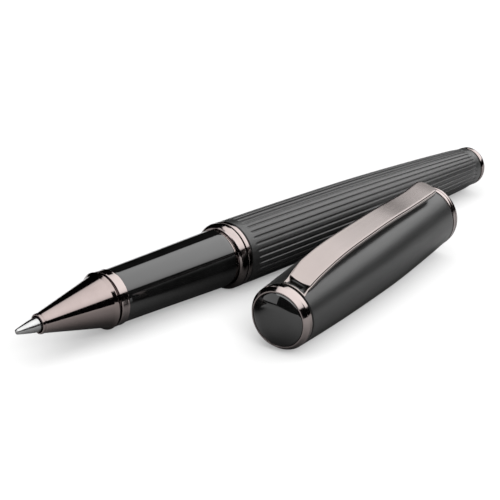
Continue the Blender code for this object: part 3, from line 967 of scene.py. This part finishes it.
def plate_front(edge, sides):
    """The plate's first rows: its edge bows towards the finial, and its middle curls down."""
    bow, curl, reach = 0.12, 0.2, 1.2
    grid = []
    for step in (0.0, 0.06, 0.15, 0.3, 0.5, 0.7, 0.95, reach):
        line = []
        for share in sides:
            station = edge + bow * abs(share) ** 2.2 + step
            top, half = clip_at(station)
            sunk = curl * (1 - share ** 2) * (1 - step / reach) ** 2
            line.append((share, station, top - sunk, half))
        grid.append(line)
    return grid


def plate_point(share, station, top, half, front):
    """Where the point at a share of the plate's half width lies."""
    edge_drop, edge_start, edge_width, narrowing = 0.1, 0.95, 0.05, 0.45
    waist = clip_waist(station, front)
    way = max(0.0, (abs(share) - edge_start) / edge_width)
    fall = edge_drop * (1 - sqrt(max(0.0, 1 - way ** 2)))
    width = half - PLATE_INSET - narrowing * waist
    lean = clip_lean(station, front, amount=0.36)
    return (top - fall - CLIP_WAIST * waist, share * width + lean, station)


def make_clip_plate():
    """The flat strip on the clip's channel, its front edge bowed towards the finial."""
    front, end = CAP.reach("clip")
    end -= PLATE_INSET
    tip, tip_half = 1.6, PLATE_INSET + 0.45
    outer = [1.0, 0.985, 0.95, 0.8, 0.6, 0.4, 0.2]
    sides = [-share for share in outer] + [0.0] + outer[::-1]
    grid = plate_front(front + 1.5, sides)
    for station in clip_rows(front + 2.9, end, tip):
        top, half = clip_at(station)
        half = tip_half + (half - tip_half) * taper(end - station, tip)
        grid.append([(share, station, top, half) for share in sides])
    bent = [[plate_point(*place, front) for place in line] for line in grid]
    sheet_piece("clip_plate_fine", bent, lambda r, c: False, thickness=0.42, soft=0.05)


def make_clip_bracket():
    """The steel tongue under the clip's root that passes through the cap's wall, coloured near black as painted
    shade.
    """
    points = CAP.local("clip_bracket")
    low, high = points.min(0).tolist(), points.max(0).tolist()
    high[0] -= 0.4
    settle(box("clip_bracket_fine", low, high, 0.08), "clip_bracket", PAINTED_SHADE_STEEL)


# ---------------- stage
def floor_material():
    """The table's finish, with painted shade and a painted lift of light.

    The camera sees one even colour, and a lift of light that grows with the distance from the
    pieces.  All other rays meet a colour with painted shade, which darkens close to the pieces.
    """
    contact_reach, contact_power = 0.05, 3.5
    lift_start, lift_stop = 0.1, 0.3
    paint = Paint("pale_table", FLOOR_COLOUR, 0.8, specular=0.0)
    seen = paint.node("ShaderNodeLightPath").outputs["Is Camera Ray"]
    # Ambient occlusion paints shade into the colour that all rays but the camera's meet near the pieces.
    nearness = paint.node("ShaderNodeAmbientOcclusion", samples=8)
    nearness.inputs["Distance"].default_value = contact_reach
    power = paint.node("ShaderNodeMath", operation="POWER")
    power.inputs[1].default_value = contact_power
    paint.link(nearness.outputs["AO"], power.inputs[0])
    shaded = paint.spread(power.outputs["Value"], FLOOR_CONTACT_SHADE, FLOOR_MIRRORED, 0, 1)
    mix = paint.node("ShaderNodeMix", data_type="RGBA")
    mix.inputs["B"].default_value = (*FLOOR_COLOUR, 1.0)
    paint.link(seen, mix.inputs["Factor"])
    paint.link(shaded, mix.inputs["A"])
    paint.link(mix.outputs["Result"], paint.shader.inputs["Base Color"])
    paint.shader.inputs["Emission Color"].default_value = (1, 1, 1, 1)
    away = paint.node("ShaderNodeVectorMath", operation="LENGTH")
    paint.link(paint.place, away.inputs[0])
    light = paint.spread(away.outputs["Value"], FLOOR_LIFT, 1.0, lift_start, lift_stop)
    lift = paint.node("ShaderNodeMath", operation="MULTIPLY")
    paint.link(light, lift.inputs[0])
    paint.link(seen, lift.inputs[1])
    paint.link(lift.outputs["Value"], paint.shader.inputs["Emission Strength"])
    return paint.material


def make_floor():
    """A wide pale table top, a hair below the pieces so that no faces coincide."""
    half_size, below = 4.0, 0.00002
    mesh = bpy.data.meshes.new("floor")
    work = bmesh.new()
    bmesh.ops.create_grid(work, x_segments=1, y_segments=1, size=half_size)
    work.to_mesh(mesh)
    work.free()
    mesh.materials.append(floor_material())
    link_piece("floor", mesh, Matrix.Translation((0, 0, -below)))


def area_light(name, centre, size, radiance, towards=None):
    """A rectangular softbox.  Without a target it hangs level and shines down."""
    data = bpy.data.lights.new(name, "AREA")
    data.shape = "RECTANGLE"
    data.size, data.size_y = size
    data.energy = radiance * pi * size[0] * size[1]
    light = bpy.data.objects.new(name, data)
    light.visible_camera = False
    light.location = centre
    if towards is not None:
        aim = Vector(towards) - Vector(centre)
        light.rotation_mode = "QUATERNION"
        light.rotation_quaternion = aim.to_track_quat("-Z", "Y")
    SCENE.collection.objects.link(light)
    return light


def fade_edges(data):
    """Makes a softbox dimmer towards its two long edges, as its diffuser does."""
    data.use_nodes = True
    tree = data.node_tree
    place = tree.nodes.new("ShaderNodeNewGeometry").outputs["Parametric"]
    split = tree.nodes.new("ShaderNodeSeparateXYZ")
    tree.links.new(place, split.inputs[0])
    curve = tree.nodes.new("ShaderNodeFloatCurve")
    points = curve.mapping.curves[0].points
    points[0].location = (0.0, NEAR_EDGE_LIGHT)
    points[1].location = (1.0, FAR_EDGE_LIGHT)
    for full in (0.33, 0.75):
        points.new(full, 1.0)
    curve.mapping.update()
    tree.links.new(split.outputs["Y"], curve.inputs["Value"])
    tree.links.new(curve.outputs["Value"], tree.nodes["Emission"].inputs["Strength"])


def make_world():
    """White to the camera, and nearly black to everything else."""
    world = bpy.data.worlds.new("studio")
    world.use_nodes = True
    tree = world.node_tree
    seen = tree.nodes.new("ShaderNodeLightPath")
    mix = tree.nodes.new("ShaderNodeMix")
    mix.data_type = "RGBA"
    mix.inputs["A"].default_value = (0.004, 0.004, 0.004, 1)
    mix.inputs["B"].default_value = (1, 1, 1, 1)
    tree.links.new(seen.outputs["Is Camera Ray"], mix.inputs["Factor"])
    tree.links.new(mix.outputs["Result"], tree.nodes["Background"].inputs["Color"])
    SCENE.world = world


def make_lights():
    """A long softbox overhead, a fill light that nothing mirrors, and a card at the pen's side."""
    height = 0.42
    near, far = -1.77 * height, 0.66 * height
    left, right = -1.6 * height, 2.6 * height
    softbox = area_light("softbox", ((left + right) / 2, (near + far) / 2, height),
                         (right - left, far - near), SOFTBOX)
    fade_edges(softbox.data)
    fill = area_light("fill", (-0.35, -0.75, 0.45), (0.6, 0.6), FILL, (0, 0, 0))
    fill.visible_glossy = False
    level = 0.33
    area_light("side_card", (-0.67, 0.44, level), (0.55, 0.56), SIDE_CARD, (0, 0, level))


def make_camera():
    """The camera, where the photo's perspective puts it."""
    azimuth, elevation, roll = radians(-46.8), radians(22.05), radians(1.04)
    target, distance = Vector((-0.01178, 0.01055, 0.0063)), 0.2155
    back = Vector((sin(azimuth) * cos(elevation), -cos(azimuth) * cos(elevation), sin(elevation)))
    right = (-back).cross(Vector((0, 0, 1))).normalized()
    up = back.cross(right)
    turned_right = right * cos(roll) + up * sin(roll)
    turned_up = up * cos(roll) - right * sin(roll)
    data = bpy.data.cameras.new("camera")
    data.sensor_width = 36.0
    data.lens = 83.44
    data.clip_start, data.clip_end = 0.01, 20.0
    camera = bpy.data.objects.new("camera", data)
    axes = Matrix((turned_right, turned_up, back)).transposed().to_4x4()
    camera.matrix_world = Matrix.Translation(target + back * distance) @ axes
    SCENE.collection.objects.link(camera)
    SCENE.camera = camera


# ---------------- main
for make in (make_camera, make_tip, make_ball, make_nose, make_collar, make_grip,
             make_section_metal, make_thread, make_o_ring, make_refill, make_spring,
             make_spring_cup, make_barrel, make_barrel_ring, make_barrel_inside, make_tail,
             make_cap_shell, make_cap_inside, make_mouth_ring, make_finial, make_clip_frame,
             make_clip_plate, make_clip_bracket, make_floor, make_lights, make_world):
    make()
SCENE.view_settings.view_transform = "Standard"
